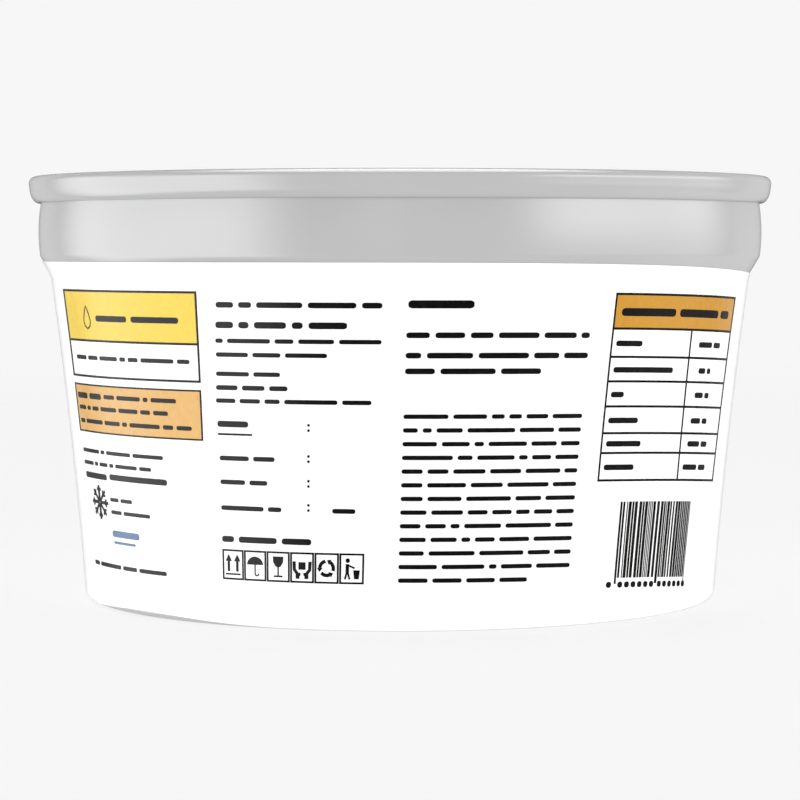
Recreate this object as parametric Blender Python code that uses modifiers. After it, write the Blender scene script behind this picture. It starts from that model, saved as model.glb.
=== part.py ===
"""A shut plastic tub of mozzarella: a filled tapered tub, a push-on lid and a wrap-round label.

Metres, +Z up. The origin is the middle of the base, and the tub's axis is Z.
"""

import math

import bpy

# Driving dimensions, in metres
LID_RADIUS = 0.0590  # the lid's rim at its widest
LID_TOP = 0.0666  # full height of the shut tub
NECK_RADIUS = 0.05716  # the tub's rim, which the lid's skirt grips
BAND_RADIUS = 0.0575  # the plain band under the lid, at its fullest
FOOT_RADIUS = 0.0503  # the label's outer face carried down to the base
WALL_TOP_RADIUS = 0.0555  # the label's outer face just under the shoulder
GAP = 0.0003  # clearance between pieces that touch

# Heights on the tub, from the base up
BASE_LIFT = 0.0014  # how far the middle of the base is raised
LABEL_BOTTOM = 0.0014
WALL_TOP = 0.0502
LABEL_TOP = 0.0533
SHOULDER_TOP = 0.0546
BAND_FULLEST = 0.0578
NECK_HEIGHT = 0.0622
CONTENTS_TOP = 0.0625
RIM_TOP = 0.0651

# Lid
SKIRT_BOTTOM = 0.06245
SKIRT_LOW_RADIUS = 0.0584  # outside of the skirt, above its lower corner
SKIRT_LOW = 0.0634
LID_THICKNESS = 0.0012
RIM_CORNER = 0.0011
PANEL_TOP = 0.0640  # the sunk panel inside the lid's rim
PANEL_RADIUS = 0.0540
DISC_RADIUS = 0.0440  # the low raised disc in the middle of the panel
DISC_HEIGHT = 0.0005

# Tub details
RIM_THICKNESS = 0.0015
WALL_HOLLOW = 0.00037  # how far the wall curves in from a straight cone, half way up
FOOT_CORNER = 0.0012
RING_WIDTH = 0.0032  # flat ring that the tub stands on
RING_SLOPE = 0.0012
LABEL_THICKNESS = 0.0003

# How finely the turned shapes are divided
TURN_STEPS = 72
ARC_STEPS = 3
BAND_STEPS = 4
SHOULDER_STEPS = 3
WALL_STEPS = 4
FOOT_ARC_START = -25  # degrees: the foot's corner starts where the wall above it ends
MERGE_DISTANCE = 0.00001
SHARP_ANGLE = math.radians(35)

# Colours (linear) and roughness
GREY_PLASTIC = (0.422, 0.422, 0.425)
WHITE_FILM = (0.93, 0.93, 0.93)
TUB_ROUGHNESS = 0.22
LID_ROUGHNESS = 0.20
FILM_ROUGHNESS = 0.19


def clear_scene():
    for old in list(bpy.data.objects):
        bpy.data.objects.remove(old, do_unlink=True)


def arc(centre_r, centre_z, radius_r, radius_z, start_deg, end_deg, steps=ARC_STEPS):
    """Points (r, z) along an arc, from start to end, with 0 degrees pointing outward and 90 up."""
    points = []
    for step in range(steps + 1):
        angle = math.radians(start_deg + (end_deg - start_deg) * step / steps)
        points.append((centre_r + radius_r * math.cos(angle), centre_z + radius_z * math.sin(angle)))
    return points


def wall_radius(z):
    """Outer radius of the labelled wall: a cone that is a little hollow, and the shoulder above it."""
    rise = min(z / WALL_TOP, 1.0)
    cone = FOOT_RADIUS + (WALL_TOP_RADIUS - FOOT_RADIUS) * rise
    cone -= 4 * WALL_HOLLOW * rise * (1 - rise)
    step = min(max((z - WALL_TOP) / (SHOULDER_TOP - WALL_TOP), 0.0), 1.0)
    return cone + (band_radius(SHOULDER_TOP) - WALL_TOP_RADIUS) * step * step * (3 - 2 * step)


def band_radius(z):
    """Outer radius of the band, a shallow bulge that ends at the neck."""
    reach = (z - BAND_FULLEST) / (NECK_HEIGHT - BAND_FULLEST)
    return BAND_RADIUS - (BAND_RADIUS - NECK_RADIUS) * reach * reach


def heights(high, low, steps):
    return [high + (low - high) * step / steps for step in range(steps + 1)]


def label_heights():
    return heights(LABEL_TOP, WALL_TOP, SHOULDER_STEPS) + heights(WALL_TOP, LABEL_BOTTOM, WALL_STEPS)[1:]


def tub_profile():
    """From the middle of the contents' top, over the rim, down the wall and in to the middle of the base."""
    inner = NECK_RADIUS - RIM_THICKNESS
    points = [(0.0, CONTENTS_TOP), (inner, CONTENTS_TOP), (inner, RIM_TOP)]
    points += [(NECK_RADIUS - GAP, RIM_TOP), (NECK_RADIUS, RIM_TOP - GAP)]
    points += [(band_radius(z), z) for z in heights(NECK_HEIGHT, SHOULDER_TOP, BAND_STEPS)]
    points.append((wall_radius(LABEL_TOP + GAP), LABEL_TOP + GAP))
    seat = GAP + LABEL_THICKNESS  # depth of the seat that the label lies in
    points += [(wall_radius(z) - seat, z) for z in label_heights()]
    ring_outer = FOOT_RADIUS - FOOT_CORNER
    points.append((wall_radius(LABEL_BOTTOM - GAP), LABEL_BOTTOM - GAP))
    points += arc(ring_outer, FOOT_CORNER, FOOT_CORNER, FOOT_CORNER, FOOT_ARC_START, -90)
    ring_inner = ring_outer - RING_WIDTH
    points += [(ring_inner, 0.0), (ring_inner - RING_SLOPE, BASE_LIFT), (0.0, BASE_LIFT)]
    return points


def lid_profile():
    """From the middle of the lid's top, over its rim, down the skirt and back under to the middle."""
    disc_top = PANEL_TOP + DISC_HEIGHT
    rim_inner = PANEL_RADIUS + RIM_CORNER
    points = [(0.0, disc_top), (DISC_RADIUS, disc_top), (DISC_RADIUS + DISC_HEIGHT, PANEL_TOP)]
    points += [(PANEL_RADIUS, PANEL_TOP), (PANEL_RADIUS + RIM_CORNER / 2, LID_TOP - RIM_CORNER / 2)]
    points.append((rim_inner, LID_TOP))
    points += arc(LID_RADIUS - RIM_CORNER, LID_TOP - RIM_CORNER, RIM_CORNER, RIM_CORNER, 90, 0)
    grip = NECK_RADIUS + GAP
    points += arc(grip, SKIRT_LOW, SKIRT_LOW_RADIUS - grip, SKIRT_LOW - SKIRT_BOTTOM, 0, -90)
    plug = NECK_RADIUS - RIM_THICKNESS - GAP
    points += [(grip, RIM_TOP + GAP), (plug, RIM_TOP + GAP), (plug, PANEL_TOP - LID_THICKNESS)]
    points.append((0.0, PANEL_TOP - LID_THICKNESS))
    return points


def label_profile():
    """A closed outline: down the label's outer face and back up its inner face."""
    outer = [(wall_radius(z), z) for z in label_heights()]
    inner = [(r - LABEL_THICKNESS, z) for r, z in reversed(outer)]
    return outer + inner


def plastic(name, colour, roughness):
    material = bpy.data.materials.new(name)
    material.use_nodes = True
    shader = material.node_tree.nodes["Principled BSDF"]
    shader.inputs["Base Color"].default_value = (*colour, 1.0)
    shader.inputs["Roughness"].default_value = roughness
    shader.inputs["Metallic"].default_value = 0.0
    material.diffuse_color = (*colour, 1.0)
    return material


def turned(name, profile, material, collection, closed=False):
    """One solid turned about Z from a profile that runs down its outer side."""
    mesh = bpy.data.meshes.new(name + "_profile")
    edges = [(k, k + 1) for k in range(len(profile) - 1)]
    if closed:
        edges.append((len(profile) - 1, 0))
    mesh.from_pydata([(r, 0.0, z) for r, z in profile], edges, [])
    guide = bpy.data.objects.new(name + "_guide", mesh)
    collection.objects.link(guide)
    screw = guide.modifiers.new("Turn", "SCREW")
    screw.axis = "Z"
    screw.steps = TURN_STEPS
    screw.render_steps = TURN_STEPS
    screw.use_merge_vertices = True
    screw.merge_threshold = MERGE_DISTANCE
    bpy.context.view_layer.update()
    solid = bpy.data.meshes.new_from_object(guide.evaluated_get(bpy.context.evaluated_depsgraph_get()))
    bpy.data.objects.remove(guide, do_unlink=True)
    solid.name = name
    solid.shade_smooth()
    solid.set_sharp_from_angle(angle=SHARP_ANGLE)
    solid.materials.append(material)
    piece = bpy.data.objects.new(name, solid)
    collection.objects.link(piece)
    return piece


def main():
    clear_scene()
    parts = bpy.data.collections.new("mozzarella_tub")
    bpy.context.scene.collection.children.link(parts)
    tub_plastic = plastic("tub_plastic", GREY_PLASTIC, TUB_ROUGHNESS)
    lid_plastic = plastic("lid_plastic", GREY_PLASTIC, LID_ROUGHNESS)
    label_film = plastic("label_film", WHITE_FILM, FILM_ROUGHNESS)
    turned("tub", tub_profile(), tub_plastic, parts)
    turned("lid", lid_profile(), lid_plastic, parts)
    turned("label", label_profile(), label_film, parts, closed=True)


main()
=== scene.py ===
"""Looks for the shut mozzarella tub: fine turned plastic, a wrap-round printed label, light and camera.

Metres, +Z up, the tub's axis on Z. The label's artwork is laid out flat, in millimetres, with x round
the tub from the middle of the printed side (-Y) and y up from the table, and is then wrapped on.
"""

import math
import random

import bpy
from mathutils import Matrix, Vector


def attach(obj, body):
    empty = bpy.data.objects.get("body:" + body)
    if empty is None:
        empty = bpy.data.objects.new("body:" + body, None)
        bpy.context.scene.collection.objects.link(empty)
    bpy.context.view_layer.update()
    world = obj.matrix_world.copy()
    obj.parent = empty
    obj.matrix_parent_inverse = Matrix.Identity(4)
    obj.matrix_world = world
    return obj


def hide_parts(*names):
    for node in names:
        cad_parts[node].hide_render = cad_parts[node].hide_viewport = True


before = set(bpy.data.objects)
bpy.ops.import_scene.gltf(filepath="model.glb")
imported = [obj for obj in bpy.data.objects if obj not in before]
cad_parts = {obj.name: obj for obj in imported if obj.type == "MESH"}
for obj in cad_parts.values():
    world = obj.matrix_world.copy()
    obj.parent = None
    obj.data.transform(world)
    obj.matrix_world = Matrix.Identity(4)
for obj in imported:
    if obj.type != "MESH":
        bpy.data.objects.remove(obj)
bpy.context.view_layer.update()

MM = 0.001

# The CAD part's driving sizes, which the fine surfaces follow
LID_RADIUS = 0.0590
LID_TOP = 0.0666
NECK_RADIUS = 0.05716
BAND_RADIUS = 0.0575
FOOT_RADIUS = 0.0503
WALL_TOP_RADIUS = 0.0555
WALL_TOP = 0.0502
SHOULDER_TOP = 0.0546
BAND_FULLEST = 0.0578
NECK_HEIGHT = 0.0622
WALL_HOLLOW = 0.00037
RIM_TOP = 0.0651
CONTENTS_TOP = 0.0625
PLUG_RADIUS = 0.05536
GRIP_RADIUS = 0.05746
LIP_WAIST = 0.0651  # height from which the lip's face rounds in to the skirt's foot
LIP_REACH = 0.00146
SKIRT_BOTTOM = 0.06245
RIM_CORNER = 0.0011
PANEL_TOP = 0.0640
PANEL_RADIUS = 0.0540
PANEL_UNDERSIDE = 0.0628
DISC_RADIUS = 0.0440
DISC_HEIGHT = 0.0005
CAVITY_RADIUS = 0.05566  # inside of the tub's rim
FOOT_CORNER = 0.0012
RING_WIDTH = 0.0032
RING_SLOPE = 0.0012
BASE_LIFT = 0.0014
GAP = 0.0003

# Moulded details of the lid and the base
GATE_HEIGHT = 0.00022  # the small pip in the middle of the lid
GATE_RADIUS = 0.0008
GATE_SHOULDER = (0.00035, 0.00012)  # how far the pip's rounded side stands out, and how high
GATE_SPREAD = 0.0005
DISC_RINGS = (0.0150, 0.0290)
DISC_BEAD = (0.0004, 0.00014)  # half width and height of a round bead
PANEL_RING = 0.0492
PANEL_BEAD = (0.0005, 0.00022)
DISC_FILLET = 0.0003
PANEL_FILLET = 0.0006
RIM_INNER_CORNER = 0.0007
BASE_RINGS = (0.0400, 0.0240)
BASE_BEAD = (0.0005, -0.0002)
DIMPLE_RADIUS = 0.0018  # the gate mark under the base
DIMPLE_DEPTH = 0.0003
DIMPLE_SLOPE = 0.0004
SEAT_START = 0.0544  # height where the label's recess begins
SEAT_FADE = 0.0012
WALL_SPAN = (0.0490, 0.0016)  # heights between which the wall is evenly divided

# Label
LABEL_TOP = 0.0533
LABEL_FOOT = 0.00012
LABEL_FOOT_RISE = 0.00085  # how far the lower edge rides up on the left
RISE_AZIMUTH = -49.0
RISE_SPREAD = 17.0
CORNER_ROWS = [0.003 * k for k in range(11)]  # parts of the label's height, close together round the foot
LABEL_ROWS = CORNER_ROWS + [0.05 + 0.95 * k / 36 for k in range(37)]
LABEL_COLUMNS = 726
LAP_START = 177.0  # degrees round from the front, where the end of the film starts to lift over its start
LAP_RISE = 3.0  # degrees that it takes to lift
LAP_END = 183.0
LABEL_SAG = 0.00226  # how far the label slips down round on the right
SAG_AZIMUTH = 100.0
SAG_SPREAD = 46.0
FILM = 0.00012  # thickness of the label
SEAT = 0.00014  # depth of the recess it lies in
WRAP = 53.0  # millimetres of artwork for each radian round the tub

# How the artwork slips and leans as the film is wrapped on
ARTWORK_HEIGHT = 53.0
PRINT_SLIP = 1.8  # millimetres that the print slips down where the label sags most
SLIP_GROWTH = 0.035
LEAN_ABOUT = 49.0
LEAN = 0.036  # degrees of lean for each millimetre below LEAN_ABOUT
LEAN_START = -69.0
LEAN_SPAN = 39.0

TURN_STEPS = 360
INK_BASE = -0.00002  # print starts just inside the film, so that its slabs join it
FIELD_LIFT = 0.00002
INK_LIFT = 0.000045
STEP_MM = 0.9  # longest straight run of a printed shape before it follows the curve again
STRIP_MM = 4.0  # tallest strip of a printed field


# ---------------------------------------------------------------- shape of the tub


def band_radius(z):
    """Outer radius of the band, a shallow bulge that ends at the neck."""
    reach = (z - BAND_FULLEST) / (NECK_HEIGHT - BAND_FULLEST)
    return BAND_RADIUS - (BAND_RADIUS - NECK_RADIUS) * reach * reach


def smooth(value):
    """0 to 1 with soft ends."""
    value = min(max(value, 0.0), 1.0)
    return value * value * (3 - 2 * value)


def wall_radius(z):
    """Outer radius of the label: a cone that is a little hollow, and the shoulder above it."""
    rise = min(z / WALL_TOP, 1.0)
    cone = FOOT_RADIUS + (WALL_TOP_RADIUS - FOOT_RADIUS) * rise
    cone -= 4 * WALL_HOLLOW * rise * (1 - rise)
    step = smooth((z - WALL_TOP) / (SHOULDER_TOP - WALL_TOP))
    return cone + (band_radius(SHOULDER_TOP) - WALL_TOP_RADIUS) * step


def foot_inset(z):
    """How far the rounded corner above the base draws the wall in at a height."""
    below = max(FOOT_CORNER - z, 0.0)
    return FOOT_CORNER - math.sqrt(FOOT_CORNER * FOOT_CORNER - below * below)


def label_radius(z):
    """Outer radius of the label all the way down, round the foot's corner too."""
    return wall_radius(z) - foot_inset(z)


def arc(centre_r, centre_z, radius_r, radius_z, start_deg, end_deg, steps):
    """Points (r, z) along an arc, with 0 degrees pointing outward and 90 up."""
    points = []
    for step in range(steps + 1):
        angle = math.radians(start_deg + (end_deg - start_deg) * step / steps)
        points.append((centre_r + radius_r * math.cos(angle), centre_z + radius_z * math.sin(angle)))
    return points


def fillet(centre_r, centre_z, radius, start_deg, end_deg, steps):
    return arc(centre_r, centre_z, radius, radius, start_deg, end_deg, steps)


def spread(first, last, steps):
    """Evenly spaced values from first to last, both included."""
    return [first + (last - first) * step / steps for step in range(steps + 1)]


def bead(centre_r, base_z, half_width, height, steps=6):
    """A low round ring on a flat surface, from its inner side to its outer side."""
    points = []
    for step in range(steps + 1):
        part = step / steps
        points.append((centre_r + half_width * (2 * part - 1), base_z + height * math.sin(math.pi * part)))
    return points


def lid_profile():
    """From the middle of the lid's top, over its rim, down the lip and back under to the middle."""
    disc_top = PANEL_TOP + DISC_HEIGHT
    points = [(0.0, disc_top + GATE_HEIGHT), (GATE_RADIUS, disc_top + GATE_HEIGHT)]
    points.append((GATE_RADIUS + GATE_SHOULDER[0], disc_top + GATE_SHOULDER[1]))
    points += [(GATE_RADIUS + GATE_SPREAD, disc_top), (2 * GATE_RADIUS, disc_top)]
    for ring in DISC_RINGS:
        points += bead(ring, disc_top, *DISC_BEAD)
    points += fillet(DISC_RADIUS - DISC_FILLET, disc_top - DISC_FILLET, DISC_FILLET, 90, 10, 5)
    points += fillet(DISC_RADIUS + DISC_HEIGHT, PANEL_TOP + DISC_FILLET, DISC_FILLET, 190, 270, 5)
    points += bead(PANEL_RING, PANEL_TOP, *PANEL_BEAD)
    points += fillet(PANEL_RADIUS - PANEL_FILLET, PANEL_TOP + PANEL_FILLET, PANEL_FILLET, 270, 345, 7)
    points += fillet(PANEL_RADIUS + RIM_CORNER, LID_TOP - RIM_INNER_CORNER, RIM_INNER_CORNER, 165, 90, 7)
    points += fillet(LID_RADIUS - RIM_CORNER, LID_TOP - RIM_CORNER, RIM_CORNER, 90, 0, 14)
    points += arc(GRIP_RADIUS, LIP_WAIST, LIP_REACH, LIP_WAIST - SKIRT_BOTTOM, -6, -90, 16)
    points += [(GRIP_RADIUS, RIM_TOP + GAP), (PLUG_RADIUS, RIM_TOP + GAP)]
    points += [(PLUG_RADIUS, PANEL_UNDERSIDE), (0.0, PANEL_UNDERSIDE)]
    return points


def tub_profile():
    """From the middle of the contents' top, over the rim, down the wall and in to the middle of the base."""
    points = [(0.0, CONTENTS_TOP), (CAVITY_RADIUS, CONTENTS_TOP), (CAVITY_RADIUS, RIM_TOP)]
    points += [(NECK_RADIUS - GAP, RIM_TOP), (NECK_RADIUS, RIM_TOP - GAP)]
    points += [(band_radius(z), z) for z in spread(NECK_HEIGHT, SHOULDER_TOP, 24)]
    shoulder = spread(SHOULDER_TOP - 0.0002, WALL_TOP, 22)
    wall = spread(*WALL_SPAN, 38)
    for z in shoulder + wall:
        points.append((wall_radius(z) - SEAT * smooth((SEAT_START - z) / SEAT_FADE), z))
    for turn in range(0, 91, 9):
        z = FOOT_CORNER * (1 - math.sin(math.radians(turn)))
        points.append((label_radius(z) - SEAT, z))
    ring_inner = FOOT_RADIUS - FOOT_CORNER - RING_WIDTH
    points += [(ring_inner, 0.0), (ring_inner - RING_SLOPE, BASE_LIFT)]
    for ring in BASE_RINGS:
        points += reversed(bead(ring, BASE_LIFT, *BASE_BEAD))
    points += [(DIMPLE_RADIUS + DIMPLE_SLOPE, BASE_LIFT), (DIMPLE_RADIUS, BASE_LIFT - DIMPLE_DEPTH)]
    points.append((0.0, BASE_LIFT - DIMPLE_DEPTH))
    return points


def add_mesh(name, points, faces, material, flat_above=35):
    mesh = bpy.data.meshes.new(name)
    mesh.from_pydata(points, [], faces)
    mesh.validate()
    mesh.shade_smooth()
    mesh.set_sharp_from_angle(angle=math.radians(flat_above))
    mesh.materials.append(material)
    piece = bpy.data.objects.new(name, mesh)
    bpy.context.scene.collection.objects.link(piece)
    return piece


def with_supports(profile, margin=0.00012):
    """The profile with points near the ends of its long straight runs, which keep them flat when shaded."""
    points = [profile[0]]
    for (ra, za), (rb, zb) in zip(profile, profile[1:]):
        run = math.dist((ra, za), (rb, zb))
        if run > 4 * margin:
            part = margin / run
            points.append((ra + (rb - ra) * part, za + (zb - za) * part))
            points.append((rb - (rb - ra) * part, zb - (zb - za) * part))
        points.append((rb, zb))
    return points


def turned(name, profile, material):
    """A closed turned solid from a profile that starts and ends on the axis and runs down its outer side."""
    profile = with_supports(profile)
    rings = profile[1:-1]
    points = [(0.0, 0.0, profile[0][1]), (0.0, 0.0, profile[-1][1])]
    for r, z in rings:
        for step in range(TURN_STEPS):
            angle = 2 * math.pi * step / TURN_STEPS
            points.append((r * math.cos(angle), r * math.sin(angle), z))
    faces = []
    last = 2 + (len(rings) - 1) * TURN_STEPS
    for step in range(TURN_STEPS):
        after = (step + 1) % TURN_STEPS
        faces.append((0, 2 + step, 2 + after))
        faces.append((1, last + after, last + step))
        for ring in range(len(rings) - 1):
            here = 2 + ring * TURN_STEPS
            below = here + TURN_STEPS
            faces.append((here + step, below + step, below + after, here + after))
    return add_mesh(name, points, faces, material)


# ---------------------------------------------------------------- label and its print


def sag_at(azimuth):
    """How much of its full slip the label has at an azimuth, 0 to 1."""
    return math.exp(-(((azimuth - SAG_AZIMUTH) / SAG_SPREAD) ** 2))


def label_edges(azimuth):
    """Heights of the label's lower and upper edges at an azimuth in degrees, 0 facing -Y."""
    ride_up = math.exp(-(((azimuth - RISE_AZIMUTH) / RISE_SPREAD) ** 2))
    return LABEL_FOOT + LABEL_FOOT_RISE * ride_up, LABEL_TOP - LABEL_SAG * sag_at(azimuth)


def at_azimuth(azimuth, radius, z):
    """The point at a radius and height, at an azimuth in degrees from -Y towards +X."""
    angle = math.radians(azimuth)
    return (radius * math.sin(angle), -radius * math.cos(angle), z)


def make_label(material):
    """A thin closed film whose last few degrees lap over its start, behind the tub."""
    across = len(LABEL_ROWS) - 1
    azimuths = spread(-180, LAP_END, LABEL_COLUMNS)
    points = []
    for azimuth in azimuths:
        low, high = label_edges(azimuth)
        lap = FILM * smooth((azimuth - LAP_START) / LAP_RISE)
        rows = [low + (high - low) * part for part in LABEL_ROWS]
        column = [(label_radius(z) + lap, z) for z in rows]
        points += [at_azimuth(azimuth, r, z) for r, z in column]
        points += [at_azimuth(azimuth, r - FILM, z) for r, z in reversed(column)]
    loop = 2 * (across + 1)
    faces = []
    for column in range(len(azimuths) - 1):
        for row in range(loop):
            here = column * loop
            after = (row + 1) % loop
            faces.append((here + row, here + loop + row, here + loop + after, here + after))
    end = (len(azimuths) - 1) * loop
    for row in range(across):
        low, high = row, loop - 1 - row
        faces.append((low, low + 1, high - 1, high))
        faces.append((end + low, end + high, end + high - 1, end + low + 1))
    return add_mesh("label_film", points, faces, material)


def on_label(x, y, lift):
    """A point of the flat artwork wrapped on the label, lift metres above its face."""
    azimuth = math.degrees(x / WRAP)
    azimuth -= LEAN * (LEAN_ABOUT - y) * min(max((azimuth - LEAN_START) / LEAN_SPAN, 0.0), 1.0)
    slip = PRINT_SLIP * sag_at(azimuth)
    z = (y - slip * (1 + (ARTWORK_HEIGHT - y) * SLIP_GROWTH)) * MM
    return at_azimuth(azimuth, wall_radius(z) + lift, z)


class Print:
    """Closed slabs of one ink, gathered into one piece."""

    def __init__(self, lift):
        self.lift = lift
        self.points = []
        self.faces = []
        self.rng = random.Random(7)

    def slab(self, sections, closed=False):
        """A slab through cross-sections: pairs of artwork points, the one on the left of travel first."""
        first = len(self.points)
        for left, right in sections:
            self.points.append(on_label(*left, self.lift))
            self.points.append(on_label(*right, self.lift))
            self.points.append(on_label(*right, INK_BASE))
            self.points.append(on_label(*left, INK_BASE))
        count = len(sections)
        for k in range(count if closed else count - 1):
            here = first + 4 * k
            there = first + 4 * ((k + 1) % count)
            for side in range(4):
                after = (side + 1) % 4
                self.faces.append((here + side, here + after, there + after, there + side))
        if not closed:
            end = first + 4 * (count - 1)
            self.faces.append((first, first + 3, first + 2, first + 1))
            self.faces.append((end, end + 1, end + 2, end + 3))

    def bar(self, x0, x1, y, height):
        """A level bar with round ends, which stands for one word."""
        half = height / 2
        turns = [math.radians(turn) for turn in (25, 55, 90)]
        ends = [(half * (1 - math.cos(turn)), half * math.sin(turn)) for turn in turns]
        columns = [(x0 + run, rise) for run, rise in ends]
        inner = max(1, math.ceil((x1 - x0 - height) / STEP_MM))
        columns += [(x, half) for x in spread(x0 + half, x1 - half, inner)[1:-1]]
        columns += [(x1 - run, rise) for run, rise in reversed(ends)]
        self.slab([((x, y + rise), (x, y - rise)) for x, rise in columns])

    def field(self, x0, x1, y0, y1):
        """A filled box, in level strips that follow the wall's curve."""
        columns = spread(x0, x1, math.ceil((x1 - x0) / STEP_MM))
        rows = spread(y0, y1, max(1, math.ceil((y1 - y0) / STRIP_MM)))
        for low, high in zip(rows, rows[1:]):
            self.slab([((x, high), (x, low)) for x in columns])

    def stroke(self, path, width, closed=False):
        """A line of even width through artwork points."""
        fine = []
        ends = path[1:] + path[:1] if closed else path[1:]
        for (xa, ya), (xb, yb) in zip(path, ends):
            parts = max(1, math.ceil(math.dist((xa, ya), (xb, yb)) / STEP_MM))
            fine += [(xa + (xb - xa) * k / parts, ya + (yb - ya) * k / parts) for k in range(parts)]
        if not closed:
            fine.append(path[-1])
        sections = []
        for k, (x, y) in enumerate(fine):
            before = fine[k - 1] if (closed or k) else fine[k]
            after = fine[(k + 1) % len(fine)] if (closed or k + 1 < len(fine)) else fine[k]
            run = Vector((after[0] - before[0], after[1] - before[1])).normalized() * width / 2
            sections.append(((x - run.y, y + run.x), (x + run.y, y - run.x)))
        self.slab(sections, closed)

    def frame(self, x0, x1, y0, y1, level, left=None, right=None):
        """A box of four lines; level is the width of the two level ones."""
        for y in (y0, y1):
            self.stroke([(x0 - (left or level) / 2, y), (x1 + (right or level) / 2, y)], level)
        self.stroke([(x0, y0), (x0, y1)], left or level)
        self.stroke([(x1, y0), (x1, y1)], right or level)

    def disc(self, x, y, radius):
        sections = []
        for turn in range(20, 161, 20):
            run = radius * math.cos(math.radians(turn))
            rise = radius * math.sin(math.radians(turn))
            sections.append(((x - run, y + rise), (x - run, y - rise)))
        self.slab(sections)

    def wedge(self, base_left, base_right, tip, tip_width=0.06):
        """A pointed shape from a base to a tip above or below it."""
        tip_left = (tip[0] - tip_width / 2, tip[1])
        tip_right = (tip[0] + tip_width / 2, tip[1])
        self.slab([(base_left, base_right), (tip_left, tip_right)])

    def curve(self, x, y, radius, width, start, end):
        """Part of a ring, from one angle in degrees to another."""
        turns = [math.radians(turn) for turn in spread(start, end, max(4, math.ceil((end - start) / 20)))]
        self.stroke([(x + radius * math.cos(turn), y + radius * math.sin(turn)) for turn in turns], width)

    def words(self, x0, x1, y, height, letters=(2, 3, 4, 4, 5, 5, 6, 7, 8, 9)):
        """A line of text as bars, one a word, that fill it from end to end."""
        gap = 0.4 + 0.4 * height
        lengths = [LETTER * self.rng.choice(letters) - gap / 2]
        while sum(lengths) + gap * len(lengths) < x1 - x0 - 2 * LETTER:
            lengths.append(LETTER * self.rng.choice(letters) - gap / 2)
        stretch = (x1 - x0 - gap * (len(lengths) - 1)) / sum(lengths)
        x = x0
        for length in lengths:
            self.bar(x, x + length * stretch, y, height)
            x += length * stretch + gap

    def piece(self, name, material):
        return add_mesh(name, self.points, self.faces, material, flat_above=20)


# Bar heights and line widths of the print, in millimetres
BODY = 0.64
SMALL = 0.58
ROW = 0.69
LARGE = 0.82
BOLD = 0.90
HEADING = 1.15
RULE = 0.34
LETTER = 0.84  # room that one letter of a word takes


def left_block(yellow, amber, rules, text, marks):
    """The framed yellow and amber notes, the short lines below them and the snowflake."""
    left, right = -63.9, -29.9
    yellow.field(left, right, 41.4, 48.95)
    amber.field(left, right, 27.4, 34.6)
    rules.frame(left, right, 35.95, 48.95, RULE, 0.75, RULE)
    rules.stroke([(left, 41.4), (right, 41.4)], RULE)
    rules.frame(left, right, 27.4, 34.6, 0.26, 0.6, 0.3)
    drop = [(0.0, 1.75), (-0.75, 0.6), (-1.15, -0.5), (-0.85, -1.3), (0.0, -1.7)]
    drop += [(-x, y) for x, y in reversed(drop[1:-1])]
    marks.stroke([(-55.2 + x, 44.9 + y) for x, y in drop], 0.26, closed=True)
    text.bar(-52.3, -44.0, 44.8, BOLD)
    text.bar(-43.0, -33.2, 44.8, BOLD)
    text.words(-61.2, -31.6, 38.8, BODY)
    text.bar(-63.0, -58.4, 32.9, BOLD)
    text.bar(-57.6, -53.3, 32.9, BOLD)
    text.words(-52.4, -34.6, 32.95, BODY)
    text.words(-62.8, -36.4, 31.05, BODY)
    text.words(-62.8, -31.8, 29.0, BODY)
    text.words(-63.4, -38.1, 24.4, SMALL)
    text.words(-63.4, -41.0, 22.5, SMALL)
    text.bar(-63.2, -54.0, 20.6, BOLD)
    text.bar(-53.0, -37.5, 20.75, BOLD)
    snowflake(marks, -57.6, 16.6, 3.3, 2.6, 0.5)
    text.words(-53.4, -46.6, 17.3, SMALL)
    text.words(-53.4, -42.0, 15.4, SMALL)
    text.words(-62.6, -38.7, 7.0, BODY)


def accent_lines(accent):
    """Two plain coloured bars in the place of a mark."""
    accent.bar(-53.6, -45.2, 12.1, 1.0)
    accent.bar(-53.2, -46.4, 10.75, 0.4)


def snowflake(marks, x, y, reach_x, reach_y, width):
    """Eight forked arms in an oval that looks round from the front."""
    def point(angle, part):
        return (x + reach_x * part * math.cos(angle), y + reach_y * part * math.sin(angle))

    for arm in range(8):
        angle = math.radians(45 * arm)
        marks.stroke([point(angle, 0.05), point(angle, 1.0)], width * (1.5 if arm % 4 == 2 else 1.0))
        for turn in (-15, 15):
            marks.stroke([point(angle, 0.6), point(angle + math.radians(turn), 0.85)], 0.75 * width)


def second_column(text, marks):
    """Address lines, the four filled-in rows with their colons, and the row of handling signs."""
    left = -26.9
    text.words(left + 0.3, -2.3, 47.2, LARGE)
    text.words(left + 0.1, -7.1, 44.3, 0.95)
    text.words(left, -2.3, 42.0, BODY)
    text.words(left, -9.9, 40.0, BODY)
    text.words(left - 0.1, -16.8, 37.2, BODY)
    text.words(left - 0.2, -15.7, 35.2, 0.7)
    text.words(left - 0.3, -3.5, 33.3, BODY)
    text.bar(left - 0.2, -21.9, 29.9, BOLD)
    text.words(left - 0.2, -21.3, 28.4, 0.3)
    for y, right in ((24.9, -17.8), (21.4, -19.0), (17.6, -16.8)):
        text.words(left, right, y, ROW)
    for y in (29.6, 25.1, 21.5, 18.0):
        marks.disc(-12.6, y + 0.38, 0.2)
        marks.disc(-12.6, y - 0.38, 0.2)
    text.bar(-9.0, -5.5, 17.6, ROW)
    text.words(left, -12.1, 13.0, BOLD)
    signs = (sign_this_way_up, sign_umbrella, sign_goblet, sign_hands, sign_cycle, sign_bin)
    for place, sign in enumerate(signs):
        x0 = -26.75 + 3.82 * place
        marks.frame(x0, x0 + 3.45, 7.15, 11.35, 0.28)
        sign(marks, x0 + 1.72, 9.25)


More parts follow.
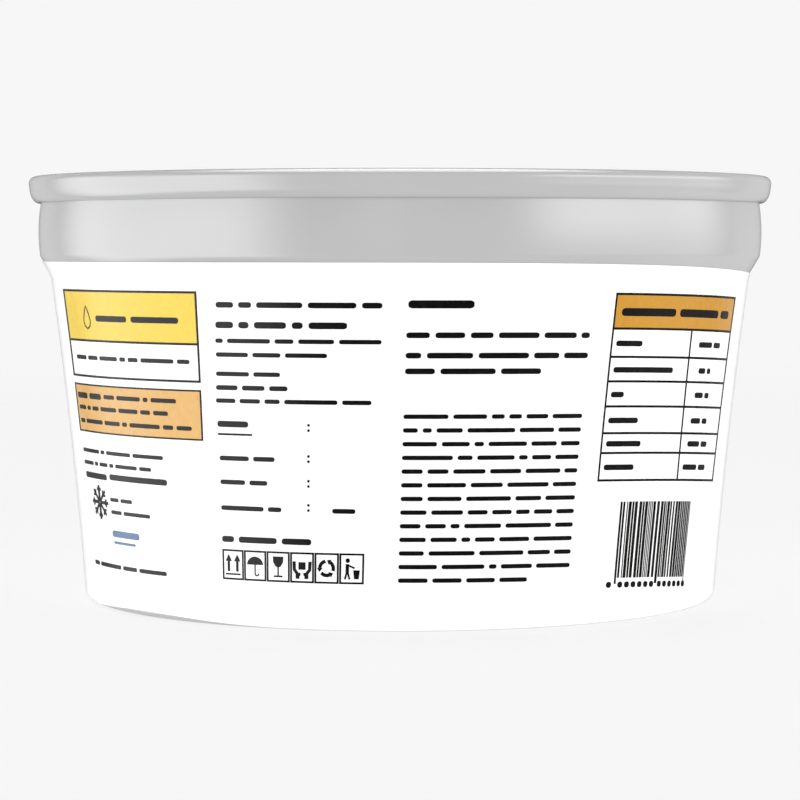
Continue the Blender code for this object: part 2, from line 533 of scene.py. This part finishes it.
def sign_this_way_up(marks, x, y):
    for side in (-0.75, 0.75):
        marks.stroke([(x + side, y - 1.0), (x + side, y + 0.6)], 0.42)
        marks.wedge((x + side - 0.55, y + 0.5), (x + side + 0.55, y + 0.5), (x + side, y + 1.5))
    marks.stroke([(x - 1.3, y - 1.4), (x + 1.3, y - 1.4)], 0.24)


def sign_umbrella(marks, x, y):
    low = y + 0.15
    sections = []
    for turn in range(170, 9, -20):
        angle = math.radians(turn)
        across = x + 1.35 * math.cos(angle)
        sections.append(((across, low + 1.2 * math.sin(angle)), (across, low)))
    marks.slab(sections)
    marks.stroke([(x, y + 0.3), (x, y - 1.2)], 0.2)
    marks.curve(x + 0.3, y - 1.15, 0.3, 0.2, 180, 360)


def sign_goblet(marks, x, y):
    marks.slab([((x - 0.85, y + 1.5), (x + 0.85, y + 1.5)), ((x - 0.8, y + 0.7), (x + 0.8, y + 0.7)),
                ((x - 0.45, y + 0.1), (x + 0.45, y + 0.1)), ((x - 0.1, y - 0.1), (x + 0.1, y - 0.1))])
    marks.stroke([(x, y), (x, y - 1.3)], 0.22)
    marks.stroke([(x - 0.7, y - 1.4), (x + 0.7, y - 1.4)], 0.24)


def sign_hands(marks, x, y):
    marks.field(x - 0.55, x + 0.55, y - 0.3, y + 0.8)
    for side in (-1, 1):
        palm = [(x + side * 1.25, y + 0.9), (x + side * 1.2, y - 0.3), (x + side * 0.7, y - 0.95)]
        marks.stroke(palm + [(x + side * 0.25, y - 1.0)], 0.5)
        marks.stroke([(x + side * 0.7, y - 0.9), (x + side * 0.7, y - 1.65)], 0.6)


def sign_cycle(marks, x, y):
    for start in (100, 220, 340):
        marks.curve(x, y, 1.05, 0.52, start, start + 78)
        angle = math.radians(start + 78)
        centre = (x + 1.05 * math.cos(angle), y + 1.05 * math.sin(angle))
        out = (math.cos(angle), math.sin(angle))
        ahead = (-out[1], out[0])
        outer = (centre[0] + 0.45 * out[0], centre[1] + 0.45 * out[1])
        inner = (centre[0] - 0.45 * out[0], centre[1] - 0.45 * out[1])
        tip = (centre[0] + 0.55 * ahead[0], centre[1] + 0.55 * ahead[1])
        marks.slab([(inner, outer), (tip, (tip[0] + 0.05 * out[0], tip[1] + 0.05 * out[1]))])


def sign_bin(marks, x, y):
    marks.slab([((x + 0.25, y - 0.2), (x + 1.25, y - 0.2)), ((x + 0.4, y - 1.5), (x + 1.1, y - 1.5))])
    marks.disc(x - 0.6, y + 1.2, 0.34)
    marks.stroke([(x - 0.65, y + 0.7), (x - 0.65, y - 0.5)], 0.5)
    marks.stroke([(x - 0.7, y - 0.4), (x - 1.0, y - 1.55)], 0.28)
    marks.stroke([(x - 0.6, y - 0.4), (x - 0.3, y - 1.55)], 0.28)
    marks.stroke([(x - 0.5, y + 0.5), (x + 0.45, y + 0.1)], 0.26)


def third_column(text):
    """A heading, three lines of contents and a block of small text set to both edges."""
    left, right = 1.05, 28.15
    text.bar(left + 0.1, 10.35, 47.4, HEADING)
    for y, end in ((43.0, right), (40.1, right), (37.85, 20.8)):
        text.words(left, end, y, LARGE)
    lines = 13
    for line in range(lines):
        end = right if line < lines - 1 else 21.0
        text.words(left, end, 31.35 - 1.978 * line, BODY)


def table(orange, rules, text):
    """Six ruled rows under an orange head."""
    left, right = 32.1, 63.8
    lines = (49.0, 44.0, 39.9, 36.35, 32.7, 28.8, 25.9, 21.9)
    orange.field(left, right, lines[1], lines[0])
    rules.frame(left, right, lines[-1], lines[0], RULE, 0.3, 0.6)
    for y in lines[1:-1]:
        rules.stroke([(left, y), (right, y)], RULE)
    rules.stroke([(49.2, lines[1]), (50.0, lines[-1])], 0.38)
    for start, end in ((33.3, 44.6), (45.5, 57.0), (57.9, 61.4)):
        text.bar(start, end, 46.4, HEADING)
    names = (38.0, 45.5, 35.4, 38.8, 39.9, 38.9)
    values = ((51.8, 59.4), (52.7, 56.8), (52.4, 57.3), (52.1, 57.7), (51.9, 58.8), (51.2, 59.1))
    for row, (end, (start, stop)) in enumerate(zip(names, values)):
        middle = (lines[row + 1] + lines[row + 2]) / 2 - 0.1
        text.bar(left + 0.8, end, middle, LARGE)
        unit = start + 0.62 * (stop - start)
        text.bar(start, unit - 0.3, middle, LARGE)
        text.bar(unit + 0.3, stop, middle, LARGE)


def striped_code(marks):
    """Upright bars of mixed width, drawn at random so that they spell nothing, over a row of short dashes."""
    left, right, top, foot = 36.95, 55.5, 18.75, 7.5
    rng = random.Random(3)
    module = (right - left) / 95
    x = left
    while x < right - module:
        wide = rng.choice((1, 2, 2, 3)) * module
        gap = rng.choice((1, 1, 1, 2)) * module
        edge = min(x + wide, right)
        at_end = x < left + 3 * module or x > right - 5 * module
        at_middle = abs(x - (left + right) / 2) < 2.4 * module
        low = foot - (0.9 if at_end or at_middle else 0.0)
        marks.stroke([(x + (edge - x) / 2, low), (x + (edge - x) / 2, top)], edge - x)
        x = edge + gap
    for place in range(-1, 12):
        start = left + 0.75 + 1.47 * place + (0.6 if place > 5 else 0.0) - (0.9 if place < 0 else 0.0)
        marks.bar(start, start + 1.1, 6.5, 0.9)


# ---------------------------------------------------------------- materials


# Linear colours
GREY_PLASTIC = (0.422, 0.422, 0.425)
FILM_WHITES = ((0.915, 0.915, 0.912), (0.945, 0.945, 0.943))
YELLOW = (0.70, 0.50, 0.045)
AMBER = (0.60, 0.345, 0.10)
ORANGE = (0.515, 0.25, 0.027)
BLUE = (0.06, 0.12, 0.26)
BLACK = (0.0045, 0.0043, 0.0046)

TUB_ROUGHNESS = 0.22
LID_ROUGHNESS = 0.20
MATT_PANEL = 0.34  # added to the roughness of the lid's panel
RIM_BLEND = 0.0025  # how far past the panel the surface takes to become polished
FILM_GLOSS = 0.35  # specular level
BLACK_GLOSS = 0.14


class Nodes:
    """A material's node tree with short calls to build it."""

    def __init__(self, name):
        self.material = bpy.data.materials.new(name)
        self.material.use_nodes = True
        self.tree = self.material.node_tree
        self.shader = self.tree.nodes["Principled BSDF"]
        self.coords = self.tree.nodes.new("ShaderNodeTexCoord").outputs["Object"]

    def link(self, source, target):
        self.tree.links.new(source, target)

    def noise(self, scale, detail, stretch=(1, 1, 1)):
        mapping = self.tree.nodes.new("ShaderNodeMapping")
        mapping.inputs["Scale"].default_value = stretch
        self.link(self.coords, mapping.inputs["Vector"])
        node = self.tree.nodes.new("ShaderNodeTexNoise")
        node.inputs["Scale"].default_value = scale
        node.inputs["Detail"].default_value = detail
        self.link(mapping.outputs["Vector"], node.inputs["Vector"])
        return node.outputs["Fac"]

    def ramp(self, value, low, high, span=(0.3, 0.7)):
        """Low to high as a value crosses a span, which by default is that of a noise."""
        node = self.tree.nodes.new("ShaderNodeMapRange")
        node.inputs["From Min"].default_value = span[0]
        node.inputs["From Max"].default_value = span[1]
        node.inputs["To Min"].default_value = low
        node.inputs["To Max"].default_value = high
        self.link(value, node.inputs["Value"])
        return node.outputs["Result"]

    def blend(self, value, colour_a, colour_b):
        node = self.tree.nodes.new("ShaderNodeMix")
        node.data_type = "RGBA"
        node.inputs[6].default_value = (*colour_a, 1.0)
        node.inputs[7].default_value = (*colour_b, 1.0)
        self.link(self.ramp(value, 0.0, 1.0), node.inputs[0])
        return node.outputs[2]

    def add(self, first, second):
        node = self.tree.nodes.new("ShaderNodeMath")
        self.link(first, node.inputs[0])
        self.link(second, node.inputs[1])
        return node.outputs["Value"]

    def from_axis(self):
        """Distance from the tub's axis."""
        flat = self.tree.nodes.new("ShaderNodeVectorMath")
        flat.operation = "MULTIPLY"
        flat.inputs[1].default_value = (1.0, 1.0, 0.0)
        self.link(self.coords, flat.inputs[0])
        length = self.tree.nodes.new("ShaderNodeVectorMath")
        length.operation = "LENGTH"
        self.link(flat.outputs["Vector"], length.inputs[0])
        return length.outputs["Value"]

    def bump(self, heights, distance):
        """A bump node, whose Normal can be chained into the next one's."""
        node = self.tree.nodes.new("ShaderNodeBump")
        node.inputs["Strength"].default_value = 1.0
        node.inputs["Distance"].default_value = distance
        self.link(heights, node.inputs["Height"])
        return node

    def set(self, **values):
        """Sets the shader's own sockets, named with _ for a space."""
        for label, value in values.items():
            self.shader.inputs[label.replace("_", " ")].default_value = value


def tinted(colour, factor):
    return tuple(channel * factor for channel in colour)


def moulded_plastic(name, colour, roughness, matt_within=0.0):
    """Moulded polypropylene: faint clouding, a fine eggshell grain and soft flow marks.

    The surface is matt nearer the axis than matt_within, as on a lid's panel, and polished outside it.
    """
    nodes = Nodes(name)
    cloud = nodes.noise(38, 4.0, (1, 1, 0.45))
    clouded = nodes.blend(cloud, tinted(colour, 0.985), tinted(colour, 1.012))
    nodes.link(clouded, nodes.shader.inputs["Base Color"])
    grain = nodes.noise(2600, 2.0)
    polish = nodes.ramp(grain, roughness - 0.02, roughness + 0.03)
    if matt_within:
        edge = (matt_within, matt_within + RIM_BLEND)
        polish = nodes.add(polish, nodes.ramp(nodes.from_axis(), MATT_PANEL, 0.0, edge))
    nodes.link(polish, nodes.shader.inputs["Roughness"])
    fine = nodes.bump(grain, 0.000004)
    waves = nodes.bump(nodes.noise(90, 2.0, (1, 1, 0.3)), 0.00004)
    nodes.link(fine.outputs["Normal"], waves.inputs["Normal"])
    nodes.link(waves.outputs["Normal"], nodes.shader.inputs["Normal"])
    nodes.set(IOR=1.49, Specular_IOR_Level=0.5)
    return nodes.material


def film_material():
    """White label stock: a matt-gloss film with a faint stock grain."""
    nodes = Nodes("label_film")
    stock = nodes.noise(700, 3.0, (1, 1, 0.5))
    nodes.link(nodes.blend(stock, *FILM_WHITES), nodes.shader.inputs["Base Color"])
    nodes.link(nodes.ramp(nodes.noise(900, 3.0), 0.17, 0.22), nodes.shader.inputs["Roughness"])
    fibre = nodes.bump(nodes.noise(1500, 2.0), 0.000003)
    nodes.link(fibre.outputs["Normal"], nodes.shader.inputs["Normal"])
    nodes.set(IOR=1.45, Specular_IOR_Level=FILM_GLOSS)
    return nodes.material


def ink(name, colour, thin=0.96, thick=1.03, gloss=FILM_GLOSS):
    """Printed ink on the film, uneven in density between thin and thick times its colour."""
    nodes = Nodes(name)
    density = nodes.noise(900, 3.0)
    printed = nodes.blend(density, tinted(colour, thin), tinted(colour, thick))
    nodes.link(printed, nodes.shader.inputs["Base Color"])
    nodes.link(nodes.ramp(nodes.noise(260, 2.0), 0.24, 0.32), nodes.shader.inputs["Roughness"])
    fibre = nodes.bump(nodes.noise(1500, 2.0), 0.000003)
    nodes.link(fibre.outputs["Normal"], nodes.shader.inputs["Normal"])
    nodes.set(IOR=1.45, Specular_IOR_Level=gloss)
    return nodes.material


# ---------------------------------------------------------------- studio


BACKDROP = 0.93
FLOOR_LEVEL = -0.00005
FLOOR_ALBEDO = 0.80
FLOOR_GLOW = 0.985
FLOOR_GLOW_SHARE = 0.8
FLOOR_FADE = (0.25, 1.15)  # distances between which the floor melts into the backdrop
CARD_RADIUS = 1.1
SURROUND_SPAN = (-0.35, 0.30)  # from the camera's side to behind the tub, as the Y of a direction
SURROUND_LIGHT = (0.02, 0.75)
FLAG_SPAN = (0.93, 0.975)  # straight behind the tub the surround is dark, which edges its outline

FILL_AIM = Vector((0, 0, 0.035))
FILL_ELEVATION = 4
FILL_DISTANCE = 1.5
FILL_SIZE = 1.1
FILLS = ((0, 9.0), (60, 14.5), (120, 4.8), (180, 1.6), (240, 5.2), (300, 12.5))  # azimuth and watts

OVERHEAD_FILL = 7.0  # watts

CAMERA_LENS = 132.32
CAMERA_PLACE = (0.0, -0.472, 0.05496)
CAMERA_DIP = 2.905  # degrees below level


def glow_material(name, strength):
    """Emission scaled by the mesh's own glow attribute, which fades at a card's edges."""
    material = bpy.data.materials.new(name)
    material.use_nodes = True
    tree = material.node_tree
    tree.nodes.clear()
    glow = tree.nodes.new("ShaderNodeAttribute")
    glow.attribute_name = "glow"
    scale = tree.nodes.new("ShaderNodeMath")
    scale.operation = "MULTIPLY"
    scale.inputs[1].default_value = strength
    emit = tree.nodes.new("ShaderNodeEmission")
    out = tree.nodes.new("ShaderNodeOutputMaterial")
    tree.links.new(glow.outputs["Fac"], scale.inputs[0])
    tree.links.new(scale.outputs["Value"], emit.inputs["Strength"])
    tree.links.new(emit.outputs["Emission"], out.inputs["Surface"])
    return material


def reflector(name, front, back, low, high, strength, fade):
    """A curved card round the tub that shows only in reflections.

    It runs from its front azimuth to its back one and is dimmer towards the back. low and high are
    each a pair of heights between which it fades in and out.
    """
    columns = 48
    rows = 40
    points = []
    glow = []
    for column in range(columns + 1):
        azimuth = front + (back - front) * column / columns
        inward = min(abs(azimuth - front), 0.9 * abs(azimuth - back))
        side = smooth(inward / fade) * (1 - 0.5 * column / columns)
        for z in spread(low[0], high[1], rows):
            rise = smooth((z - low[0]) / (low[1] - low[0]))
            fall = smooth((high[1] - z) / (high[1] - high[0]))
            points.append(at_azimuth(azimuth, CARD_RADIUS, z))
            glow.append(side * rise * fall)
    faces = []
    for column in range(columns):
        for row in range(rows):
            here = column * (rows + 1) + row
            faces.append((here, here + 1, here + rows + 2, here + rows + 1))
    show_in_gloss(add_mesh(name, points, faces, glow_material(name, strength)), glow)


def round_sheet(radii, height, steps):
    """Points and faces of a flat round sheet with a ring of points at each radius."""
    points = [(0.0, 0.0, height)]
    for radius in radii:
        points += [at_azimuth(360 * k / steps, radius, height) for k in range(steps)]
    faces = [(0, 1 + k, 1 + (k + 1) % steps) for k in range(steps)]
    for ring in range(len(radii) - 1):
        here = 1 + ring * steps
        for k in range(steps):
            after = (k + 1) % steps
            faces.append((here + k, here + steps + k, here + steps + after, here + after))
    return points, faces


def overhead_card(radius, height, strength):
    """A round card over the tub, which edges the lid's rim with light."""
    steps = 48
    rings = 8
    parts = [ring / rings for ring in range(1, rings + 1)]
    glow = [1.0]
    for part in parts:
        glow += [smooth(1.6 * (1 - part))] * steps
    points, faces = round_sheet([radius * part for part in parts], height, steps)
    show_in_gloss(add_mesh("card_overhead", points, faces, glow_material("card_overhead", strength)), glow)


def show_in_gloss(card, glow):
    """Gives a card its glow at each point and hides it from all but glossy rays."""
    layer = card.data.attributes.new("glow", "FLOAT", "POINT")
    for item, value in zip(layer.data, glow):
        item.value = value
    for kind in ("camera", "diffuse", "shadow", "transmission"):
        setattr(card, "visible_" + kind, False)


def fill_light(name, azimuth, elevation, distance, size, power):
    """A large soft lamp aimed at the tub, which leaves no mirror image in the gloss."""
    data = bpy.data.lights.new(name, "AREA")
    data.shape = "DISK"
    data.size = size
    data.energy = power
    lamp = bpy.data.objects.new(name, data)
    bpy.context.scene.collection.objects.link(lamp)
    turn, rise = math.radians(azimuth), math.radians(elevation)
    away = Vector((math.sin(turn) * math.cos(rise), -math.cos(turn) * math.cos(rise), math.sin(rise)))
    lamp.location = FILL_AIM + away * distance
    lamp.rotation_euler = away.to_track_quat("Z", "Y").to_euler()
    lamp.visible_glossy = False
    lamp.visible_camera = False


def world_ramp(tree, span, values):
    """A smooth change of the surround's light between two values across a span of directions."""
    node = tree.nodes.new("ShaderNodeMapRange")
    node.interpolation_type = "SMOOTHSTEP"
    node.inputs["From Min"].default_value, node.inputs["From Max"].default_value = span
    node.inputs["To Min"].default_value, node.inputs["To Max"].default_value = values
    return node


def studio_world():
    """An even pale backdrop for the camera, and a dimmer surround for the light that falls on the tub."""
    world = bpy.data.worlds.new("studio")
    bpy.context.scene.world = world
    world.use_nodes = True
    tree = world.node_tree
    tree.nodes.clear()
    coords = tree.nodes.new("ShaderNodeTexCoord")
    split = tree.nodes.new("ShaderNodeSeparateXYZ")
    ramp = world_ramp(tree, SURROUND_SPAN, SURROUND_LIGHT)
    flag = world_ramp(tree, FLAG_SPAN, (1.0, 0.0))
    both = tree.nodes.new("ShaderNodeMath")
    both.operation = "MULTIPLY"
    around = tree.nodes.new("ShaderNodeBackground")
    seen = tree.nodes.new("ShaderNodeBackground")
    seen.inputs["Color"].default_value = (1.0, 1.0, 1.0, 1.0)
    seen.inputs["Strength"].default_value = BACKDROP
    path = tree.nodes.new("ShaderNodeLightPath")
    mix = tree.nodes.new("ShaderNodeMixShader")
    out = tree.nodes.new("ShaderNodeOutputWorld")
    tree.links.new(coords.outputs["Generated"], split.inputs["Vector"])
    for part, socket in zip((ramp, flag), both.inputs):
        tree.links.new(split.outputs["Y"], part.inputs["Value"])
        tree.links.new(part.outputs["Result"], socket)
    tree.links.new(both.outputs["Value"], around.inputs["Strength"])
    tree.links.new(path.outputs["Is Camera Ray"], mix.inputs["Fac"])
    tree.links.new(around.outputs["Background"], mix.inputs[1])
    tree.links.new(seen.outputs["Background"], mix.inputs[2])
    tree.links.new(mix.outputs["Shader"], out.inputs["Surface"])


def studio_floor():
    """A round pale floor that melts into the backdrop at its rim and is clear from below."""
    points, faces = round_sheet((0.1, 0.25, 0.6, 1.2), FLOOR_LEVEL, 96)
    floor = add_mesh("floor", points, faces, floor_material())
    floor.visible_glossy = False
    floor.visible_shadow = False


def floor_material():
    """Part matt and part glowing, so that the floor keeps the backdrop's brightness and a faint shade."""
    material = bpy.data.materials.new("pale_floor")
    material.use_nodes = True
    tree = material.node_tree
    tree.nodes.clear()
    matt = tree.nodes.new("ShaderNodeBsdfDiffuse")
    matt.inputs["Color"].default_value = (FLOOR_ALBEDO, FLOOR_ALBEDO, FLOOR_ALBEDO, 1.0)
    emit = tree.nodes.new("ShaderNodeEmission")
    emit.inputs["Strength"].default_value = FLOOR_GLOW
    lit = tree.nodes.new("ShaderNodeMixShader")
    lit.inputs["Fac"].default_value = FLOOR_GLOW_SHARE
    clear = tree.nodes.new("ShaderNodeBsdfTransparent")
    coords = tree.nodes.new("ShaderNodeTexCoord")
    length = tree.nodes.new("ShaderNodeVectorMath")
    length.operation = "LENGTH"
    fade = tree.nodes.new("ShaderNodeMapRange")
    fade.interpolation_type = "SMOOTHSTEP"
    fade.inputs["From Min"].default_value, fade.inputs["From Max"].default_value = FLOOR_FADE
    whole = tree.nodes.new("ShaderNodeMixShader")
    sides = tree.nodes.new("ShaderNodeNewGeometry")
    upper = tree.nodes.new("ShaderNodeMath")
    upper.operation = "MAXIMUM"
    out = tree.nodes.new("ShaderNodeOutputMaterial")
    tree.links.new(matt.outputs["BSDF"], lit.inputs[1])
    tree.links.new(emit.outputs["Emission"], lit.inputs[2])
    tree.links.new(coords.outputs["Object"], length.inputs[0])
    tree.links.new(length.outputs["Value"], fade.inputs["Value"])
    tree.links.new(fade.outputs["Result"], upper.inputs[0])
    tree.links.new(sides.outputs["Backfacing"], upper.inputs[1])
    tree.links.new(upper.outputs["Value"], whole.inputs["Fac"])
    tree.links.new(lit.outputs["Shader"], whole.inputs[1])
    tree.links.new(clear.outputs["BSDF"], whole.inputs[2])
    tree.links.new(whole.outputs["Shader"], out.inputs["Surface"])
    return material


def studio():
    studio_world()
    studio_floor()
    reflector("card_left", -28, -135, (-0.95, -0.55), (0.30, 0.75), 5.6, 24)
    reflector("card_right", 30, 127, (-0.28, 0.28), (0.30, 0.75), 5.9, 24)
    overhead_card(0.9, 1.1, 9.0)
    for azimuth, power in FILLS:
        fill_light(f"fill_{azimuth:03d}", azimuth, FILL_ELEVATION, FILL_DISTANCE, FILL_SIZE, power)
    fill_light("fill_overhead", 0, 90, 1.4, 1.2, OVERHEAD_FILL)


def camera():
    """Close to level with the lid, on the side of the small print."""
    data = bpy.data.cameras.new("camera")
    data.lens = CAMERA_LENS
    data.sensor_width = 36.0
    data.clip_start = 0.01
    data.clip_end = 20.0
    view = bpy.data.objects.new("camera", data)
    bpy.context.scene.collection.objects.link(view)
    view.location = CAMERA_PLACE
    view.rotation_euler = (math.radians(90 - CAMERA_DIP), 0.0, 0.0)
    bpy.context.scene.camera = view


def dress(piece, slot, *nodes):
    """Ties a piece to the body and hides the CAD nodes that it stands for; the slot argument is not used."""
    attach(piece, "root")
    if nodes:
        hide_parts(*nodes)


def make_print():
    """Lays out the whole artwork, then makes one piece of each ink or kind of mark."""
    yellow, amber, orange = Print(FIELD_LIFT), Print(FIELD_LIFT), Print(FIELD_LIFT)
    accent, rules, words = Print(INK_LIFT), Print(INK_LIFT), Print(INK_LIFT)
    signs, stripes = Print(INK_LIFT), Print(INK_LIFT)
    left_block(yellow, amber, rules, words, signs)
    second_column(words, signs)
    third_column(words)
    table(orange, rules, words)
    striped_code(stripes)
    accent_lines(accent)
    black = ink("ink_black", BLACK, 0.8, 1.3, BLACK_GLOSS)
    pieces = [
        yellow.piece("print_yellow", ink("ink_yellow", YELLOW)),
        amber.piece("print_amber", ink("ink_amber", AMBER)),
        orange.piece("print_orange", ink("ink_orange", ORANGE)),
        accent.piece("print_accent", ink("ink_blue", BLUE)),
        rules.piece("print_rules", black),
        words.piece("print_words", black),
        signs.piece("print_signs", black),
        stripes.piece("print_stripes", black),
    ]
    for piece in pieces:
        dress(piece, "label_film")


def main():
    scene = bpy.context.scene
    scene.view_settings.view_transform = "Standard"
    scene.view_settings.look = "None"
    tub_plastic = moulded_plastic("tub_plastic", GREY_PLASTIC, TUB_ROUGHNESS)
    lid_plastic = moulded_plastic("lid_plastic", GREY_PLASTIC, LID_ROUGHNESS, PANEL_RADIUS)
    dress(turned("tub_body", tub_profile(), tub_plastic), "tub_plastic", "tub")
    dress(turned("lid_shell", lid_profile(), lid_plastic), "lid_plastic", "lid")
    dress(make_label(film_material()), "label_film", "label")
    make_print()
    camera()
    studio()


main()
